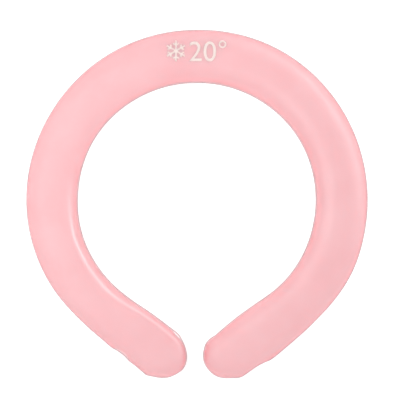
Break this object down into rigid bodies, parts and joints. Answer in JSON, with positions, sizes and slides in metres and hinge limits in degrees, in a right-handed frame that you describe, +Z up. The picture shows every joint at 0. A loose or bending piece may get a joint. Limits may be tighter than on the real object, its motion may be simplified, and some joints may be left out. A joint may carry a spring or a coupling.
{
  "type": "cooling neck ring",
  "caption": "Soft open ring that lies round the neck: a film tube filled with cooling gel, welded flat round its outline, with rounded tips and a plain numeral print.",
  "frame": {"origin": "middle of the ring's outer box, on the surface that the ring rests on", "axes": "+Z up through the neck opening, +Y towards the closed side at the back of the neck, +X to the right with the two tips towards -Y, as seen from above"},
  "size_m": [0.1706, 0.1744, 0.022],
  "materials": {
    "film": "satin milky pink soft film",
    "weld": "clear welded film edge",
    "gel": "pink cooling gel"
  },
  "bodies": {
    "root": {"upper_film": "film", "lower_film": "film", "weld_rim": "weld", "gel_fill": "gel"}
  },
  "joints": []
}
